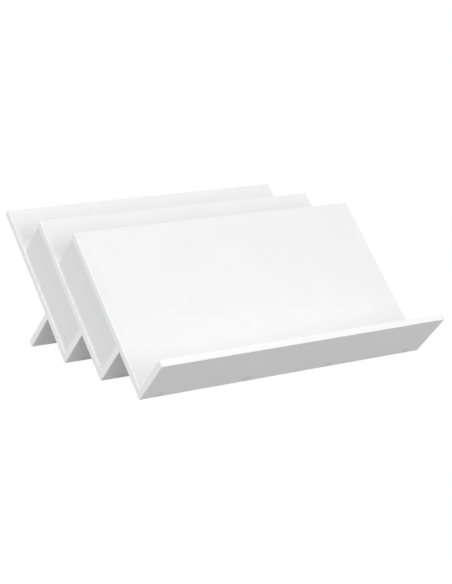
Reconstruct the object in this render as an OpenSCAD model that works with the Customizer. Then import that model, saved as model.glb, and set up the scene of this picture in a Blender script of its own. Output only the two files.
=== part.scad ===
// Desk-top magazine file holder: three sloped boards stand one behind the other on square-set lips,
// so the section is a zig-zag of boards that lean back and lips that lean forward. The lips floor two
// closed pockets and an open front shelf. All panels are 12 mm faced chipboard with banded edges.

/* [Panels] */
// Width over the end bands
width = 550; // [400:5:700]
// Thickness of every panel
thick = 12; // [11:0.5:19]
// Face of each large board above its lip, the height of an A4 sheet
face_height = 297; // [240:1:330]
// Angle of the large boards from the desk
lean = 45; // [38:1:58]
// Depth of the front lip, from its foot to its free edge
front_lip_depth = 98; // [50:1:140]

/* [Pockets] */
// Clear gap between two large boards
pocket_gap = 76; // [50:1:110]
// Distance of the cheeks in from the ends of the boards
cheek_inset = 3; // [1:0.5:20]

/* [Edging] */
// Thickness of the edge bands
band = 0.8; // [0.8:0.1:2]
// Radius of the eased arrises
arris = 0.6; // [0.3:0.1:0.7]
// Width of the flat on each foot
foot_flat = 1; // [0.6:0.1:1.2]

/* [Screws] */
// Screws in each lip
screw_count = 4; // [3:1:6]
// First screw from the end of the board
screw_end = 32; // [28:1:60]
// Screw line above the foot, far enough to keep the cap clear of the band
screw_rise = 8; // [7.9:0.1:8.5]
// Diameter of the shank
shank_d = 3.5; // [3:0.1:4]
// Length of the screw under its head
screw_length = 40; // [30:1:50]
// Diameter of the head
head_d = 7; // [6:0.1:8]
// Height of the head
head_height = 2.4; // [2:0.1:2.6]
// Length of the point
point_length = 5; // [3:0.5:7]

/* [Cover caps] */
// Diameter of the counterbore that holds a cap
cap_bore_d = 14; // [12:0.1:14.2]
// Depth of the counterbore
cap_bore_depth = 4.6; // [4.4:0.1:5.5]
// Thickness of the cap's disc
cap_disc = 1.2; // [0.8:0.1:1.4]
// Wall of the cap's skirt
cap_wall = 1; // [0.8:0.1:1.4]
// Rounding of the cap's rim
cap_rim = 0.3; // [0.2:0.05:0.6]
// Depth of the cap's face below the lip
cap_set_back = 0.1; // [0:0.05:0.5]

/* [Dowels] */
// Diameter of the dowels
dowel_d = 6; // [5:0.5:7]
// Length of the dowels
dowel_length = 25; // [22:1:30]
// Depth that a dowel enters a board's face
dowel_seat = 8; // [7:0.5:8.5]
// Chamfer on a dowel's ends
dowel_chamfer = 0.8; // [0.4:0.1:1.2]
// Dowels along the top of each lip
dowel_count = 4; // [3:1:6]
// First dowel from the end of the board
dowel_end = 50; // [40:1:70]
// Dowels in a cheek from its two ends
cheek_dowel_end = 40; // [25:1:60]

/* [Fits] */
// Clearance round screws, dowels and caps
fit = 0.1; // [0.05:0.01:0.15]
// Glue space past the end of each dowel
glue_space = 0.5; // [0.2:0.1:0.8]
// Hairline between two bands that butt at a corner
band_joint = 0.05; // [0.02:0.01:0.1]

/* [Hidden] */
$fn = 32;
panel_colour = [0.95, 0.95, 0.95];
band_colour = [0.92, 0.92, 0.92];
cap_colour = [0.86, 0.86, 0.86];
screw_colour = [0.75, 0.75, 0.78];
dowel_colour = [0.80, 0.66, 0.47];

// The three units are counted from the front, and the rear leg is a lip without a board
front = 0;
middle = 1;
rear = 2;
leg = 3;

// A large board starts on its lip, and a lip ends on the back of the board in front of it
lip_depth = pocket_gap + thick;
board_top = thick + face_height;
foot_pitch = lip_depth / sin(lean);
board_step = lip_depth / tan(lean);
cheek_length = face_height - board_step;

// The foot's corner is cut off level with the desk
foot_cut = foot_flat * sin(lean) * cos(lean);
corner_cut = foot_flat * 4;

// Front and back of the whole holder, with its eased corners, set the middle of the frame
arris_loss = arris * (sin(lean) + cos(lean) - 1);
front_y = arris_loss - front_lip_depth * sin(lean);
board_back_y = rear * foot_pitch + board_top * cos(lean) - arris_loss;
leg_back_y = leg * foot_pitch + thick * cos(lean) - arris_loss;
back_y = max(board_back_y, leg_back_y);
middle_y = (front_y + back_y) / 2;

half_width = width / 2;
core_width = width - 2 * band;
long_band_width = core_width - 2 * band_joint;
cheek_x = half_width - cheek_inset - thick;
screw_step = (width - 2 * screw_end) / (screw_count - 1);
dowel_step = (width - 2 * dowel_end) / (dowel_count - 1);
dowel_line = thick / 2;
head_floor = cap_bore_depth;
cut_margin = 1;

SQUARE = [false, false, false, false];
TOP_EASED = [false, false, true, true];
LOW_BACK_EASED = [true, false, false, false];

// ---- Places ----

// A unit's frame: x along the width, y up the slope of its board, z square out of the board's back,
// with the origin on the corner of its foot
module unit(k)
    translate([0, k * foot_pitch - middle_y, -foot_cut])
        rotate([lean, 0, 0])
            children();

// A lip's own frame: y up from its foot and z from its pocket face out to its free face
module on_lip(k)
    unit(k)
        translate([0, thick, 0])
            rotate([90, 0, 0])
                children();

// A large board's own frame: y up from its lower edge and z from its back to its face
module on_board(k)
    unit(k)
        translate([0, thick, 0])
            children();

module along(count, end, step)
    for (i = [0:count - 1])
        translate([end - half_width + i * step, 0, 0])
            children();

// Keeps what lies above the desk
module above_desk(k)
    difference() {
        children();
        translate([-width, k * foot_pitch - middle_y - corner_cut, -2 * corner_cut])
            cube([2 * width, 2 * corner_cut, 2 * corner_cut]);
    }

// ---- Panels ----

// Rectangle with chosen corners eased: low z and high z at y = 0, then low z and high z at the far edge
module eased_rectangle(length, height, eased)
    difference() {
        square([length, height]);
        for (i = [0:3])
            if (eased[i])
                translate([i < 2 ? 0 : length, i % 2 == 0 ? 0 : height])
                    mirror([i < 2 ? 0 : 1, 0])
                        mirror([0, i % 2 == 0 ? 0 : 1])
                            difference() {
                                square(arris);
                                translate([arris, arris])
                                    circle(arris);
                            }
    }

// Whole outline of a banded panel, with its ends eased all round and its long edges where asked
module panel_outline(depth, eased)
    intersection() {
        rotate([90, 0, 90])
            linear_extrude(height = width, center = true)
                eased_rectangle(depth, thick, eased);
        translate([-half_width, depth, 0])
            rotate([90, 0, 0])
                linear_extrude(height = depth)
                    eased_rectangle(width, thick, [true, true, true, true]);
    }

// Chipboard of a panel inside its bands
module panel_core(depth, low_band, high_band)
    translate([-core_width / 2, low_band, 0])
        cube([core_width, depth - low_band - high_band, thick]);

// Band along a long edge, between the two end bands
module long_band(depth, start, eased)
    intersection() {
        panel_outline(depth, eased);
        translate([-long_band_width / 2, start, -cut_margin])
            cube([long_band_width, band, thick + 2 * cut_margin]);
    }

// Bands on both ends, the full depth of the panel
module end_bands(depth, eased)
    for (side = [-1, 1])
        intersection() {
            panel_outline(depth, eased);
            translate([side > 0 ? core_width / 2 : -core_width / 2 - 2 * band, -cut_margin, -cut_margin])
                cube([2 * band, depth + 2 * cut_margin, thick + 2 * cut_margin]);
        }

// ---- Screws, caps and dowels: each profile is revolved on z, with z = 0 at the seat ----

module screw()
    rotate_extrude()
        polygon([
            [0, -head_height], [head_d / 2 - head_height / 2, -head_height],
            [head_d / 2, -head_height / 2], [head_d / 2, 0], [shank_d / 2, 0],
            [shank_d / 2, screw_length - point_length], [0, screw_length]
        ]);

// Clearance for the shank and the counterbore, from the lip's free face inwards
module screw_hole() {
    translate([0, 0, -cap_bore_depth - cut_margin])
        cylinder(d = cap_bore_d, h = cap_bore_depth + cut_margin);
    cylinder(d = shank_d + 2 * fit, h = screw_length + 2 * glue_space);
}

// Cap with a skirt round the screw's head that stands on the counterbore's floor
module cap() {
    cap_r = cap_bore_d / 2 - fit;
    face_z = cap_set_back - cap_bore_depth;
    rotate_extrude()
        polygon([
            [0, face_z], [cap_r - cap_rim, face_z], [cap_r, face_z + cap_rim], [cap_r, 0],
            [cap_r - cap_wall, 0], [cap_r - cap_wall, face_z + cap_disc], [0, face_z + cap_disc]
        ]);
}

// A dowel crosses z = 0, with dowel_seat of it on the side of negative z
module dowel()
    translate([0, 0, -dowel_seat])
        rotate_extrude()
            polygon([
                [0, 0], [dowel_d / 2 - dowel_chamfer, 0], [dowel_d / 2, dowel_chamfer],
                [dowel_d / 2, dowel_length - dowel_chamfer],
                [dowel_d / 2 - dowel_chamfer, dowel_length], [0, dowel_length]
            ]);

module dowel_hole()
    translate([0, 0, -dowel_seat - glue_space])
        cylinder(d = dowel_d + 2 * fit, h = dowel_length + 2 * glue_space);

// Screws through the foot of lip k into the lower edge of its board
module at_screws(k)
    unit(k)
        along(screw_count, screw_end, screw_step)
            translate([0, head_floor, screw_rise])
                rotate([-90, 0, 0])
                    children();

// Dowels from the top of lip k into the back of the board in front
module at_lip_dowels(k)
    unit(k)
        along(dowel_count, dowel_end, dowel_step)
            translate([0, dowel_line, lip_depth])
                rotate([180, 0, 0])
                    children();

// Dowels in both long edges of the cheeks of unit k, into the boards behind and in front
module at_cheek_dowels(k)
    unit(k)
        for (side = [-1, 1], rise = [cheek_dowel_end, cheek_length - cheek_dowel_end])
            translate([side * (cheek_x + thick / 2), thick + rise, 0]) {
                translate([0, 0, thick])
                    children();
                translate([0, 0, lip_depth])
                    rotate([180, 0, 0])
                        children();
            }

// ---- Pieces ----

module large_board(k)
    color(panel_colour)
        difference() {
            on_board(k) panel_core(face_height, 0, band);
            at_screws(k) screw_hole();
            if (k < rear) {
                at_lip_dowels(k + 1) dowel_hole();
                at_cheek_dowels(k + 1) dowel_hole();
            }
            if (k == rear) at_lip_dowels(leg) dowel_hole();
            if (k > front) at_cheek_dowels(k) dowel_hole();
        }

module large_board_edging(k)
    color(band_colour)
        on_board(k) {
            long_band(face_height, face_height - band, TOP_EASED);
            end_bands(face_height, TOP_EASED);
        }

module lip(k)
    color(panel_colour)
        above_desk(k)
            difference() {
                on_lip(k)
                    if (k == front) panel_core(front_lip_depth, band, band);
                    else panel_core(lip_depth, band, 0);
                if (k < leg) at_screws(k) screw_hole();
                if (k > front) at_lip_dowels(k) dowel_hole();
            }

module lip_edging(k)
    color(band_colour)
        above_desk(k)
            on_lip(k)
                if (k == front) {
                    long_band(front_lip_depth, front_lip_depth - band, TOP_EASED);
                    end_bands(front_lip_depth, TOP_EASED);
                } else {
                    end_bands(lip_depth, k == leg ? LOW_BACK_EASED : SQUARE);
                }

module foot_band(k)
    color(band_colour)
        above_desk(k)
            on_lip(k)
                long_band(lip_depth, 0, k == leg ? LOW_BACK_EASED : SQUARE);

// Cheek on one side of pocket k: its top edge is level with the board in front
module cheek(k, side)
    color(panel_colour)
        difference() {
            unit(k)
                translate([side > 0 ? cheek_x : -cheek_x - thick, thick, thick])
                    cube([thick, cheek_length - band, pocket_gap]);
            at_cheek_dowels(k) dowel_hole();
        }

module cheek_band(k, side)
    unit(k)
        translate([side > 0 ? cheek_x : -cheek_x - thick, thick + cheek_length - band, thick])
            rotate([90, 0, 90])
                linear_extrude(height = thick)
                    square([band, pocket_gap]);

module lip_screws(k)
    color(screw_colour)
        at_screws(k) screw();

module lip_caps(k)
    color(cap_colour)
        at_screws(k) cap();

module lip_dowels(k)
    color(dowel_colour)
        at_lip_dowels(k) dowel();

module cheek_dowels(k)
    color(dowel_colour)
        at_cheek_dowels(k) dowel();

// ---- Nodes ----

module front_board() large_board(front);
module middle_board() large_board(middle);
module rear_board() large_board(rear);
module front_lip() lip(front);
module middle_lip() lip(middle);
module rear_lip() lip(rear);
module rear_leg() lip(leg);
module left_front_cheek() cheek(middle, -1);
module right_front_cheek() cheek(middle, 1);
module left_rear_cheek() cheek(rear, -1);
module right_rear_cheek() cheek(rear, 1);
module front_board_edging() large_board_edging(front);
module middle_board_edging() large_board_edging(middle);
module rear_board_edging() large_board_edging(rear);
module front_lip_edging() lip_edging(front);
module middle_lip_edging() lip_edging(middle);
module rear_lip_edging() lip_edging(rear);
module rear_leg_edging() lip_edging(leg);
module cheek_edging()
    color(band_colour)
        for (k = [middle, rear], side = [-1, 1])
            cheek_band(k, side);
module front_foot_band() foot_band(front);
module middle_foot_band() foot_band(middle);
module rear_foot_band() foot_band(rear);
module leg_foot_band() foot_band(leg);
module front_lip_screws() lip_screws(front);
module middle_lip_screws() lip_screws(middle);
module rear_lip_screws() lip_screws(rear);
module front_lip_caps() lip_caps(front);
module middle_lip_caps() lip_caps(middle);
module rear_lip_caps() lip_caps(rear);
module middle_lip_dowels() lip_dowels(middle);
module rear_lip_dowels() lip_dowels(rear);
module rear_leg_dowels() lip_dowels(leg);
module front_cheek_dowels() cheek_dowels(middle);
module rear_cheek_dowels() cheek_dowels(rear);

front_board();
middle_board();
rear_board();
front_lip();
middle_lip();
rear_lip();
rear_leg();
left_front_cheek();
right_front_cheek();
left_rear_cheek();
right_rear_cheek();
front_board_edging();
middle_board_edging();
rear_board_edging();
front_lip_edging();
middle_lip_edging();
rear_lip_edging();
rear_leg_edging();
cheek_edging();
front_foot_band();
middle_foot_band();
rear_foot_band();
leg_foot_band();
front_lip_screws();
middle_lip_screws();
rear_lip_screws();
front_lip_caps();
middle_lip_caps();
rear_lip_caps();
middle_lip_dowels();
rear_lip_dowels();
rear_leg_dowels();
front_cheek_dowels();
rear_cheek_dowels();
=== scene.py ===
import math
import bmesh
import bpy
from mathutils import Matrix, Quaternion, Vector


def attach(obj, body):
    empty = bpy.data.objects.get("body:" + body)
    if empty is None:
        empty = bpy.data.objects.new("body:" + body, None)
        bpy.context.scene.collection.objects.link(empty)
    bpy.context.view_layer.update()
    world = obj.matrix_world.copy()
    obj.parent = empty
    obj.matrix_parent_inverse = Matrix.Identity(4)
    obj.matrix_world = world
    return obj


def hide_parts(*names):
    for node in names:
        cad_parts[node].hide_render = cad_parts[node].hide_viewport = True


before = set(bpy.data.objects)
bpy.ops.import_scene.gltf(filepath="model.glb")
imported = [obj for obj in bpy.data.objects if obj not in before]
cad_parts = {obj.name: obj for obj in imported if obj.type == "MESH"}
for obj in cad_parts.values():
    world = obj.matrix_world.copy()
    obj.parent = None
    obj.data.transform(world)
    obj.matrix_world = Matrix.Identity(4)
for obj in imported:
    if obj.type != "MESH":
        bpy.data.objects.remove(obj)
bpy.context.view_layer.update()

# ---- Panels ----
# Eleven panels of 12 mm chipboard, faced on both sides with white melamine paper and sawn to size.
# The facing is pressed against a fine pearl plate, so it is an even satin white. Sawn edges that butt
# on another panel stay raw, and every edge that shows is banded.

MM = 0.001
PAPER_WHITE = "#F0F0F0"
PAPER_SHADE = "#EDEDED"
PAPER_CLOUD = 60 * MM
PAPER_ROUGHNESS = 0.55
PAPER_SHEEN = 0.12
PAPER_IOR = 1.5
PEARL_GRAIN = 1.4 * MM
PEARL_DEPTH = 0.02 * MM
CHIP_PALE = "#D9C19A"
CHIP_DARK = "#A98A5E"
CHIP_LENGTH = 3.5 * MM
CHIP_DEPTH = 0.3 * MM
CHIP_ROUGHNESS = 0.85
PANEL_RELIEF = 0.5
FACED_FROM = 0.9

LEAN = math.radians(45)
ALONG_HOLDER = Vector((1, 0, 0))
UP_BOARD = Vector((0, math.cos(LEAN), math.sin(LEAN)))
UP_LIP = Vector((0, -math.sin(LEAN), math.cos(LEAN)))


def linear(hex_colour):
    """An sRGB hex colour as linear red, green, blue and alpha."""
    parts = [int(hex_colour[i:i + 2], 16) / 255 for i in (1, 3, 5)]
    return [c / 12.92 if c <= 0.04045 else ((c + 0.055) / 1.055) ** 2.4 for c in parts] + [1.0]


def add(tree, kind, settings, links=None):
    """Adds a node. Both dictionaries are keyed by the name or number of an input, or by a property."""
    made = tree.nodes.new("ShaderNode" + kind)
    for name, value in settings.items():
        if isinstance(name, int) or name in made.inputs:
            made.inputs[name].default_value = value
        else:
            setattr(made, name, value)
    for name, output in (links or {}).items():
        tree.links.new(output, made.inputs[name])
    return made


def new_finish(name):
    """A material, its tree, and the shaded point's place in the object's own metres."""
    made = bpy.data.materials.new(name)
    made.use_nodes = True
    made.node_tree.nodes.clear()
    place = add(made.node_tree, "TexCoord", {}).outputs["Object"]
    return made, made.node_tree, place


def close_finish(tree, shader):
    """Joins the shader to the tree's output."""
    add(tree, "OutputMaterial", {}, {"Surface": shader.outputs[0]})


def melamine_panel(name, facing):
    """Melamine-faced chipboard: satin white where it looks along the facing, raw chips where it is sawn."""
    made, tree, place = new_finish(name)

    # A face that looks along the facing to within 25 degrees is paper, and any other is a sawn edge
    surface = add(tree, "NewGeometry", {}).outputs["Normal"]
    square_on = add(tree, "VectorMath", {"operation": "DOT_PRODUCT", 1: facing}, {0: surface})
    squareness = add(tree, "Math", {"operation": "ABSOLUTE"}, {0: square_on.outputs["Value"]})
    faced = add(tree, "Math", {"operation": "GREATER_THAN", 1: FACED_FROM},
                {0: squareness.outputs[0]}).outputs[0]

    # The paper took up its resin a trace unevenly, which gives a large surface very soft clouds
    cloud = add(tree, "TexNoise", {"Scale": 1 / PAPER_CLOUD, "Detail": 2}, {"Vector": place})
    paper = add(tree, "Mix", {"data_type": "RGBA", 6: linear(PAPER_WHITE), 7: linear(PAPER_SHADE)},
                {0: cloud.outputs["Fac"]})

    # Softwood chips, pale and dark, pressed together, show on a sawn edge
    chips = add(tree, "TexVoronoi", {"Scale": 1 / CHIP_LENGTH}, {"Vector": place})
    shade = add(tree, "SeparateColor", {}, {"Color": chips.outputs["Color"]})
    wood = add(tree, "Mix", {"data_type": "RGBA", 6: linear(CHIP_PALE), 7: linear(CHIP_DARK)},
               {0: shade.outputs[0]})
    colour = add(tree, "Mix", {"data_type": "RGBA"}, {0: faced, 6: wood.outputs[2], 7: paper.outputs[2]})
    gloss = add(tree, "MapRange", {"To Min": CHIP_ROUGHNESS, "To Max": PAPER_ROUGHNESS}, {"Value": faced})

    # The pearl's grain is about 0.5 mm on the sheet, and is drawn coarser so that it shows
    grain = add(tree, "TexNoise", {"Scale": 1 / PEARL_GRAIN, "Detail": 1}, {"Vector": place})
    pearl = add(tree, "Bump", {"Strength": PANEL_RELIEF, "Distance": PEARL_DEPTH},
                {"Height": grain.outputs["Fac"]})
    sawn = add(tree, "Bump", {"Strength": PANEL_RELIEF, "Distance": CHIP_DEPTH},
               {"Height": chips.outputs["Distance"]})
    relief = add(tree, "Mix", {"data_type": "VECTOR"}, {0: faced, 4: sawn.outputs[0], 5: pearl.outputs[0]})

    # The sheen is low, so that a face seen nearly edge-on doesn't mirror the white around it
    close_finish(tree, add(tree, "BsdfPrincipled", {"IOR": PAPER_IOR, "Specular IOR Level": PAPER_SHEEN}, {
        "Base Color": colour.outputs[2], "Roughness": gloss.outputs[0], "Normal": relief.outputs[1]}))
    return made


def dress(names, finish):
    """Gives CAD nodes their finish."""
    for name in names:
        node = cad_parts[name]
        node.data.materials.clear()
        node.data.materials.append(finish)


boards = ["front_board", "middle_board", "rear_board"]
lips = ["front_lip", "middle_lip", "rear_lip", "rear_leg"]
cheeks = ["left_front_cheek", "right_front_cheek", "left_rear_cheek", "right_rear_cheek"]
dress(boards, melamine_panel("melamine_boards", UP_LIP))
dress(lips, melamine_panel("melamine_lips", UP_BOARD))
dress(cheeks, melamine_panel("melamine_cheeks", ALONG_HOLDER))

# ---- Edge bands ----
# Strips of white ABS 0.8 mm thick, glued on hot and scraped flush, with eased arrises. The scraper
# leaves faint lines along them, and the plastic is a shade whiter than the melamine.

BAND_WHITE = "#F9F9F9"
BAND_SHADE = "#F6F6F6"
BAND_ROUGHNESS_LOW = 0.36
BAND_ROUGHNESS_HIGH = 0.48
BAND_SHEEN = 0.25
BAND_IOR = 1.53
BAND_RELIEF = 0.5
SCRAPE_WIDTH = 0.9 * MM
SCRAPE_LENGTH = 80 * MM
SCRAPE_DEPTH = 0.02 * MM


def abs_band():
    """Satin ABS, whose scraper lines give it a soft, slightly streaked sheen."""
    made, tree, place = new_finish("abs_edge_band")

    # The scraper's lines are a few tenths of a millimetre wide, and are drawn wider so that they show
    scale = (1 / SCRAPE_LENGTH, 1 / SCRAPE_WIDTH, 1 / SCRAPE_WIDTH)
    stretched = add(tree, "Mapping", {"Scale": scale}, {"Vector": place})
    lines = add(tree, "TexNoise", {"Scale": 1, "Detail": 2}, {"Vector": stretched.outputs[0]}).outputs["Fac"]
    colour = add(tree, "Mix", {"data_type": "RGBA", 6: linear(BAND_WHITE), 7: linear(BAND_SHADE)}, {0: lines})
    gloss = add(tree, "MapRange", {"To Min": BAND_ROUGHNESS_LOW, "To Max": BAND_ROUGHNESS_HIGH},
                {"Value": lines})
    relief = add(tree, "Bump", {"Strength": BAND_RELIEF, "Distance": SCRAPE_DEPTH}, {"Height": lines})
    close_finish(tree, add(tree, "BsdfPrincipled", {"IOR": BAND_IOR, "Specular IOR Level": BAND_SHEEN}, {
        "Base Color": colour.outputs[2], "Roughness": gloss.outputs[0], "Normal": relief.outputs[0]}))
    return made


dress([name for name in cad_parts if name.endswith(("_edging", "_foot_band"))], abs_band())

# ---- Dowels ----
# Fluted beech pins, 6 mm across and 25 mm long, glued into the boards, the lips and the cheeks. The
# flutes let the glue rise, and both ends are chamfered.

DOWEL_RADIUS = 3 * MM
DOWEL_LENGTH = 25 * MM
DOWEL_CHAMFER = 0.8 * MM
FLUTES = 14
FLUTE_DEPTH = 0.3 * MM
STEPS_PER_FLUTE = 4
BEECH_PALE = "#D8B98C"
BEECH_DARK = "#C39F70"
BEECH_FLECK = "#A87F52"
BEECH_GRAIN = 1.2 * MM
BEECH_GRAIN_LENGTH = 18 * MM
BEECH_GRAIN_DEPTH = 0.05 * MM
BEECH_PORE = 0.8 * MM
BEECH_PORE_LENGTH = 3.2 * MM
BEECH_PORE_CORE = 0.12
BEECH_PORE_EDGE = 0.2
BEECH_PORE_SHARE = 0.6
BEECH_ROUGHNESS = 0.62
BEECH_IOR = 1.5
BEECH_RELIEF = 0.4


def stations(node, axis):
    """Where each solid of a node starts along an axis: a frame at its lower end with z along the axis."""
    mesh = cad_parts[node].data

    # Corners that are one to a thousandth of a millimetre join the edges of a solid
    corners = [tuple(round(c, 6) for c in vertex.co) for vertex in mesh.vertices]
    owner = {corner: corner for corner in corners}

    def root(corner):
        while owner[corner] != corner:
            corner = owner[corner]
        return corner

    for a, b in (edge.vertices for edge in mesh.edges):
        owner[root(corners[a])] = root(corners[b])
    solids = {}
    for corner in owner:
        solids.setdefault(root(corner), []).append(Vector(corner))
    directions = (ALONG_HOLDER, axis.cross(ALONG_HOLDER), axis)
    turned = Matrix(directions).transposed().to_4x4()
    places = []
    for points in solids.values():
        low = [min(p.dot(d) for p in points) for d in directions]
        high = [max(p.dot(d) for p in points) for d in directions]
        start = Vector(((low[0] + high[0]) / 2, (low[1] + high[1]) / 2, low[2]))
        places.append(Matrix.Translation(turned @ start) @ turned)
    return places


def revolved(name, rings):
    """A closed round mesh on z from rings, each a height and its radius at every step round."""
    shell = bmesh.new()
    loops = []
    for height, radii in rings:
        turns = [2 * math.pi * step / len(radii) for step in range(len(radii))]
        loops.append([shell.verts.new((r * math.cos(t), r * math.sin(t), height))
                      for r, t in zip(radii, turns)])
    for lower, upper in zip(loops, loops[1:]):
        for step in range(len(lower)):
            after = (step + 1) % len(lower)
            shell.faces.new((lower[step], lower[after], upper[after], upper[step]))
    shell.faces.new(reversed(loops[0]))
    shell.faces.new(loops[-1])
    made = bpy.data.meshes.new(name)
    shell.to_mesh(made)
    shell.free()
    return made


def fasten(ending, mesh, axis):
    """Puts a copy of a mesh in the stead of each solid of the nodes whose names have an ending."""
    for node in [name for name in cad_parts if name.endswith(ending)]:
        for count, place in enumerate(stations(node, axis), 1):
            piece = bpy.data.objects.new(f"{node}_{count}", mesh)
            piece.matrix_world = place
            bpy.context.scene.collection.objects.link(piece)
            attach(piece, "root")
            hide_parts(node)


def fluted_dowel():
    """A pin with straight flutes that run out in its chamfers."""
    steps = FLUTES * STEPS_PER_FLUTE
    tips = [DOWEL_RADIUS - DOWEL_CHAMFER] * steps
    dips = [step % STEPS_PER_FLUTE == STEPS_PER_FLUTE / 2 for step in range(steps)]
    flutes = [DOWEL_RADIUS - FLUTE_DEPTH * dip for dip in dips]
    return revolved("dowel", [(0, tips), (DOWEL_CHAMFER, flutes),
                              (DOWEL_LENGTH - DOWEL_CHAMFER, flutes), (DOWEL_LENGTH, tips)])


def turned_beech():
    """Turned beech, left bare: pale pink-brown, with fine lengthwise grain and flecks."""
    made, tree, place = new_finish("turned_beech")
    along = add(tree, "Mapping", {"Scale": (1 / BEECH_GRAIN, 1 / BEECH_GRAIN, 1 / BEECH_GRAIN_LENGTH)},
                {"Vector": place})
    grain = add(tree, "TexNoise", {"Scale": 1, "Detail": 4}, {"Vector": along.outputs[0]}).outputs["Fac"]
    wood = add(tree, "Mix", {"data_type": "RGBA", 6: linear(BEECH_PALE), 7: linear(BEECH_DARK)}, {0: grain})
    dashes = add(tree, "Mapping", {"Scale": (1 / BEECH_PORE, 1 / BEECH_PORE, 1 / BEECH_PORE_LENGTH)},
                 {"Vector": place})
    pores = add(tree, "TexVoronoi", {"Scale": 1}, {"Vector": dashes.outputs[0]})
    fleck = add(tree, "MapRange", {"From Min": BEECH_PORE_CORE, "From Max": BEECH_PORE_EDGE,
                                   "To Min": BEECH_PORE_SHARE, "To Max": 0},
                {"Value": pores.outputs["Distance"]})
    colour = add(tree, "Mix", {"data_type": "RGBA", 7: linear(BEECH_FLECK)},
                 {0: fleck.outputs[0], 6: wood.outputs[2]})
    relief = add(tree, "Bump", {"Strength": BEECH_RELIEF, "Distance": BEECH_GRAIN_DEPTH}, {"Height": grain})
    close_finish(tree, add(tree, "BsdfPrincipled", {"IOR": BEECH_IOR, "Roughness": BEECH_ROUGHNESS}, {
        "Base Color": colour.outputs[2], "Normal": relief.outputs[0]}))
    return made


dowel = fluted_dowel()
dowel.materials.append(turned_beech())
fasten("_dowels", dowel, UP_LIP)

# ---- Screws ----
# Chipboard screws, 3.5 by 40 mm, through each lip's foot into the lower edge of its board. They are
# steel with a bright zinc plating: a pan head with a cross recess, and a rolled thread to the point.

HEAD_RADIUS = 3.5 * MM
HEAD_HEIGHT = 2.4 * MM
HEAD_CROWN = 1.2 * MM
SHANK_RADIUS = 1.32 * MM
THREAD_RADIUS = 1.75 * MM
CORE_RADIUS = 1.1 * MM
POINT_RADIUS = 0.02 * MM
THREAD_PITCH = 1.6 * MM
RIDGE_SHARE = 0.44
SCREW_LENGTH = 40 * MM
POINT_LENGTH = 5 * MM
PLAIN_SHANK = 4 * MM
RECESS_DEPTH = 1.4 * MM
RECESS_ARM = 1.9 * MM
RECESS_HALF_WIDTH = 0.45 * MM
RECESS_TAPER = 0.6
SCREW_STEPS = 32
CROWN_STEPS = 6
PITCH_STEPS = 8
ZINC = "#C9CCD1"
ZINC_DULL = "#B4B8BE"
PLATING_CLOUD = 2.5 * MM
ZINC_ROUGHNESS_LOW = 0.24
ZINC_ROUGHNESS_HIGH = 0.42


def threaded_screw():
    """A screw from the crown of its head up to its point, with a cross recess sunk in the crown."""
    turns = [2 * math.pi * step / SCREW_STEPS for step in range(SCREW_STEPS)]

    # The recess: its floor first, then its wall up to the crown, in four arms of one width and length
    slants = [min(abs(math.sin(turn)), abs(math.cos(turn))) for turn in turns]
    arms = [RECESS_HALF_WIDTH / max(slant, RECESS_HALF_WIDTH / RECESS_ARM) for slant in slants]
    rings = [(RECESS_DEPTH, [RECESS_TAPER * arm for arm in arms]), (0, arms)]

    # The pan head: a quarter-round crown, a short wall and the flat under it
    for bend in range(CROWN_STEPS + 1):
        angle = math.pi / 2 * bend / CROWN_STEPS
        radius = HEAD_RADIUS - HEAD_CROWN + HEAD_CROWN * math.sin(angle)
        rings.append((HEAD_CROWN * (1 - math.cos(angle)), [radius] * SCREW_STEPS))
    rings.append((HEAD_HEIGHT, [HEAD_RADIUS] * SCREW_STEPS))
    rings.append((HEAD_HEIGHT, [SHANK_RADIUS] * SCREW_STEPS))

    # The shank: plain under the head, then the thread, which narrows with the core to the point
    row_step = THREAD_PITCH / PITCH_STEPS
    rows = round((SCREW_LENGTH - PLAIN_SHANK) / row_step)
    for row in range(rows + 1):
        height = PLAIN_SHANK + row * row_step
        taper = min(1, (SCREW_LENGTH - height) / POINT_LENGTH)
        radii = []
        for turn in turns:
            phase = (height / THREAD_PITCH - turn / (2 * math.pi)) % 1
            ridge = max(0, 1 - abs(phase - 0.5) / (RIDGE_SHARE / 2))
            radii.append(taper * (CORE_RADIUS + (THREAD_RADIUS - CORE_RADIUS) * ridge) + POINT_RADIUS)
        rings.append((HEAD_HEIGHT + height, radii))
    return revolved("screw", rings)


def bright_zinc_plate():
    """Bright zinc on rolled steel: a cool grey metal with faint cloudy patches from the bath."""
    made, tree, place = new_finish("bright_zinc_plate")
    cloud = add(tree, "TexNoise", {"Scale": 1 / PLATING_CLOUD, "Detail": 3}, {"Vector": place}).outputs["Fac"]
    colour = add(tree, "Mix", {"data_type": "RGBA", 6: linear(ZINC), 7: linear(ZINC_DULL)}, {0: cloud})
    gloss = add(tree, "MapRange", {"To Min": ZINC_ROUGHNESS_LOW, "To Max": ZINC_ROUGHNESS_HIGH},
                {"Value": cloud})
    close_finish(tree, add(tree, "BsdfPrincipled", {"Metallic": 1}, {
        "Base Color": colour.outputs[2], "Roughness": gloss.outputs[0]}))
    return made


screw = threaded_screw()
screw.materials.append(bright_zinc_plate())
fasten("_screws", screw, UP_BOARD)

# ---- Cover caps ----
# Moulded polyethylene caps over the screws, pressed into their counterbores until the skirt stands on
# the floor. The face is a shade greyer than the melamine, slightly dished, with the gate's dimple.

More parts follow.
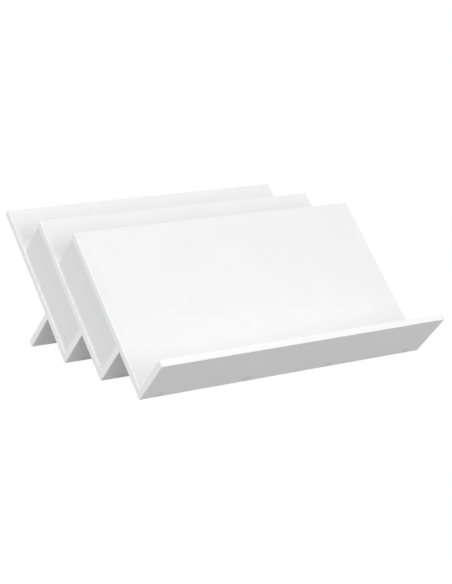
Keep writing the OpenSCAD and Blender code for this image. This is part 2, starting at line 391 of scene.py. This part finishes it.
CAP_RADIUS = 6.97 * MM
CAP_HEIGHT = 4.5 * MM
CAP_RIM = 0.15 * MM
CAP_PROUD = 0.08 * MM
CAP_DISC = 1.2 * MM
CAP_WALL = 1 * MM
CAP_CHAMFER = 0.2 * MM
CAP_CENTRE = 0.05 * MM
DISH_DEPTH = 0.06 * MM
GATE_RADIUS = 0.7 * MM
GATE_FLOOR_RADIUS = 0.49 * MM
GATE_DEPTH = 0.15 * MM
CAP_STEPS = 64
DISH_STEPS = 6
RIM_STEPS = 5
CAP_WHITE = "#E6E6E6"
CAP_SHADE = "#E2E2E2"
SPARK_GRAIN = 0.6 * MM
SPARK_DEPTH = 0.03 * MM
CAP_RELIEF = 0.4
CAP_ROUGHNESS = 0.55
CAP_SHEEN = 0.12
CAP_IOR = 1.51
WAX_SHARE = 0.05
WAX_DEPTH = 1 * MM


def pressed_cap():
    """A cap from its face, at the lower end, to the rim of its skirt."""
    profile = [(GATE_DEPTH, CAP_CENTRE), (GATE_DEPTH, GATE_FLOOR_RADIUS), (DISH_DEPTH, GATE_RADIUS)]
    for step in range(1, DISH_STEPS + 1):
        share = step / DISH_STEPS
        reach = GATE_RADIUS + (CAP_RADIUS - CAP_RIM - GATE_RADIUS) * share
        profile.append((DISH_DEPTH * (1 - share ** 2) - CAP_PROUD, reach))
    for bend in range(1, RIM_STEPS + 1):
        angle = math.pi / 2 * bend / RIM_STEPS
        height = CAP_RIM * (1 - math.cos(angle)) - CAP_PROUD
        profile.append((height, CAP_RADIUS - CAP_RIM * (1 - math.sin(angle))))
    profile.append((CAP_HEIGHT - CAP_CHAMFER, CAP_RADIUS))
    profile.append((CAP_HEIGHT, CAP_RADIUS - CAP_CHAMFER))
    profile.append((CAP_HEIGHT, CAP_RADIUS - CAP_WALL))
    profile.append((CAP_DISC, CAP_RADIUS - CAP_WALL))
    profile.append((CAP_DISC, CAP_CENTRE))
    return revolved("cover_cap", [(height, [radius] * CAP_STEPS) for height, radius in profile])


def moulded_polyethylene():
    """Polyethylene from a spark-eroded mould: matt, waxy and very finely grained."""
    made, tree, place = new_finish("moulded_polyethylene")

    # The mould's grain is under 0.1 mm, and is drawn coarser so that it shows
    grain = add(tree, "TexNoise", {"Scale": 1 / SPARK_GRAIN, "Detail": 2}, {"Vector": place}).outputs["Fac"]
    colour = add(tree, "Mix", {"data_type": "RGBA", 6: linear(CAP_WHITE), 7: linear(CAP_SHADE)}, {0: grain})
    relief = add(tree, "Bump", {"Strength": CAP_RELIEF, "Distance": SPARK_DEPTH}, {"Height": grain})
    close_finish(tree, add(tree, "BsdfPrincipled", {
        "IOR": CAP_IOR, "Specular IOR Level": CAP_SHEEN, "Roughness": CAP_ROUGHNESS,
        "Subsurface Weight": WAX_SHARE, "Subsurface Scale": WAX_DEPTH,
    }, {"Base Color": colour.outputs[2], "Normal": relief.outputs[0]}))
    return made


cap = pressed_cap()
cap.materials.append(moulded_polyethylene())
fasten("_caps", cap, UP_BOARD)

# ---- Floor ----
# A pale matt tabletop that runs out of sight, with a little light of its own as on a lit table. Under the
# holder that glow is cut out, which paints shade there. The holder's soft shadow stays on it, and fades out
# to plain white away from the holder.

FLOOR_WHITE = "#FFFFFF"
FLOOR_GREY = "#303030"
FLOOR_GLOW = 0.426
FLOOR_LENGTH = 16
# Painted shade: the patch under the holder where the table's glow is cut out
PAINTED_SHADE_WIDTH = 0.5
PAINTED_SHADE_DEPTH = 0.4
PAINTED_SHADE_FADE = 0.1
SHADOW_KEPT = 0.1
SHADOW_NEAR = 0.5
SHADOW_FAR = 1.5


def looked_at(tree):
    """1 for what the camera sees, mirrored or through glass as well, and 0 for what lights the holder."""
    rays = add(tree, "LightPath", {}).outputs
    mirrored = add(tree, "Math", {"operation": "MAXIMUM"},
                   {0: rays["Is Glossy Ray"], 1: rays["Is Transmission Ray"]})
    return add(tree, "Math", {"operation": "MAXIMUM"},
               {0: rays["Is Camera Ray"], 1: mirrored.outputs[0]}).outputs[0]


def lit_acrylic_table():
    """Matt acrylic lit from below, its glow cut out under the holder as painted shade; the camera and
    reflections see it as white with a faint shadow.
    """
    made, tree, place = new_finish("lit_acrylic_table")

    # It gives back little of the lamps' light, so what faces down is lit evenly by the glow
    seen = looked_at(tree)
    colour = add(tree, "Mix", {"data_type": "RGBA", 6: linear(FLOOR_GREY), 7: linear(FLOOR_WHITE)}, {0: seen})
    matt = add(tree, "BsdfDiffuse", {}, {"Color": colour.outputs[2]})

    # The glow is off in a patch under the holder, which paints shade there, and grows to its full strength at
    # the patch's sides
    reach = add(tree, "VectorMath", {"operation": "ABSOLUTE"}, {0: place}).outputs["Vector"]
    spot = add(tree, "SeparateXYZ", {}, {"Vector": reach}).outputs
    aside = add(tree, "MapRange", {"From Min": PAINTED_SHADE_WIDTH / 2 - PAINTED_SHADE_FADE, "From Max": PAINTED_SHADE_WIDTH / 2},
                {"Value": spot["X"]})
    ahead = add(tree, "MapRange", {"From Min": PAINTED_SHADE_DEPTH / 2 - PAINTED_SHADE_FADE, "From Max": PAINTED_SHADE_DEPTH / 2},
                {"Value": spot["Y"]})
    lit = add(tree, "Math", {"operation": "MAXIMUM"}, {0: aside.outputs[0], 1: ahead.outputs[0]})
    power = add(tree, "Math", {"operation": "MULTIPLY", 1: FLOOR_GLOW}, {0: lit.outputs[0]})
    glow = add(tree, "Emission", {"Color": linear(FLOOR_WHITE)}, {"Strength": power.outputs[0]})
    table = add(tree, "AddShader", {}, {0: matt.outputs[0], 1: glow.outputs[0]})

    # The camera and reflections see plain white, with a share of the shadow near the holder
    white = add(tree, "Emission", {"Color": linear(FLOOR_WHITE), "Strength": 1})
    away = add(tree, "VectorMath", {"operation": "LENGTH"}, {0: place}).outputs["Value"]
    whiteness = add(tree, "MapRange", {"From Min": SHADOW_NEAR, "From Max": SHADOW_FAR,
                                       "To Min": 1 - SHADOW_KEPT, "To Max": 1}, {"Value": away})
    share = add(tree, "Math", {"operation": "MULTIPLY"}, {0: seen, 1: whiteness.outputs[0]})
    close_finish(tree, add(tree, "MixShader", {}, {
        0: share.outputs[0], 1: table.outputs[0], 2: white.outputs[0]}))
    return made


sheet = bmesh.new()
bmesh.ops.create_grid(sheet, x_segments=1, y_segments=1, size=FLOOR_LENGTH / 2)
floor_mesh = bpy.data.meshes.new("floor")
sheet.to_mesh(floor_mesh)
sheet.free()
floor_mesh.materials.append(lit_acrylic_table())
floor = bpy.data.objects.new("floor", floor_mesh)
bpy.context.scene.collection.objects.link(floor)

# ---- Light ----
# A white ceiling that fades towards the horizon, and four softboxes: a key light high at the front left,
# one overhead, one in front and one at the left. Each softbox is a square that faces the holder.

CEILING_WHITE = "#FFFFFF"
CEILING_LIGHT = 0.373
CEILING_FADE = 0.4
SOFTBOXES = {
    "key": {"place": Vector((-2.2, -3.2, 3.8)), "side": 1.6, "watts": 46},
    "overhead": {"place": Vector((0, 1.3, 4.8)), "side": 2.4, "watts": 120},
    "front": {"place": Vector((0, -5.8, 1.56)), "side": 2.8, "watts": 118},
    "left": {"place": Vector((-5.8, 0, 1.56)), "side": 2.8, "watts": 118},
}

studio = bpy.data.worlds.new("studio")
studio.use_nodes = True
sky = studio.node_tree
sky.nodes.clear()
seen = looked_at(sky)
direction = add(sky, "TexCoord", {}).outputs["Generated"]
rise = add(sky, "SeparateXYZ", {}, {"Vector": direction}).outputs["Z"]
ceiling = add(sky, "MapRange", {"From Max": CEILING_FADE, "To Max": CEILING_LIGHT}, {"Value": rise})
strength = add(sky, "Mix", {"data_type": "FLOAT", 3: 1}, {0: seen, 2: ceiling.outputs[0]})
backdrop = add(sky, "Background", {"Color": linear(CEILING_WHITE)}, {"Strength": strength.outputs[0]})
add(sky, "OutputWorld", {}, {"Surface": backdrop.outputs[0]})
bpy.context.scene.world = studio

for name, box in SOFTBOXES.items():
    lamp = bpy.data.lights.new(name, "AREA")
    lamp.size = box["side"]
    lamp.energy = box["watts"]
    softbox = bpy.data.objects.new(name, lamp)
    softbox.location = box["place"]
    softbox.rotation_euler = (-box["place"]).to_track_quat("-Z", "Y").to_euler()
    bpy.context.scene.collection.objects.link(softbox)

# ---- Camera ----
# A long lens at the front left, a little above the boards. Its frame is slid down over the holder, rather
# than the lens tipped further, so that edges that stand upright lean in only a little.

CAMERA_YAW = math.radians(32.86)
CAMERA_PITCH = math.radians(10.72)
CAMERA_ROLL = math.radians(0.155)
CAMERA_DISTANCE = 2.7546
CAMERA_AIM = Vector((0.0073, -0.0065, 0.2130))
CAMERA_LENS = 99.55
CAMERA_SLIDE = -0.113

level = Vector((math.sin(CAMERA_YAW), math.cos(CAMERA_YAW), 0)) * math.cos(CAMERA_PITCH)
ahead = level - Vector((0, 0, math.sin(CAMERA_PITCH)))
lens = bpy.data.cameras.new("camera")
lens.lens = CAMERA_LENS
lens.shift_y = CAMERA_SLIDE
camera = bpy.data.objects.new("camera", lens)
camera.location = CAMERA_AIM - ahead * CAMERA_DISTANCE
camera.rotation_euler = (ahead.to_track_quat("-Z", "Y") @ Quaternion((0, 0, 1), CAMERA_ROLL)).to_euler()
bpy.context.scene.collection.objects.link(camera)
bpy.context.scene.camera = camera
bpy.context.scene.view_settings.view_transform = "Standard"
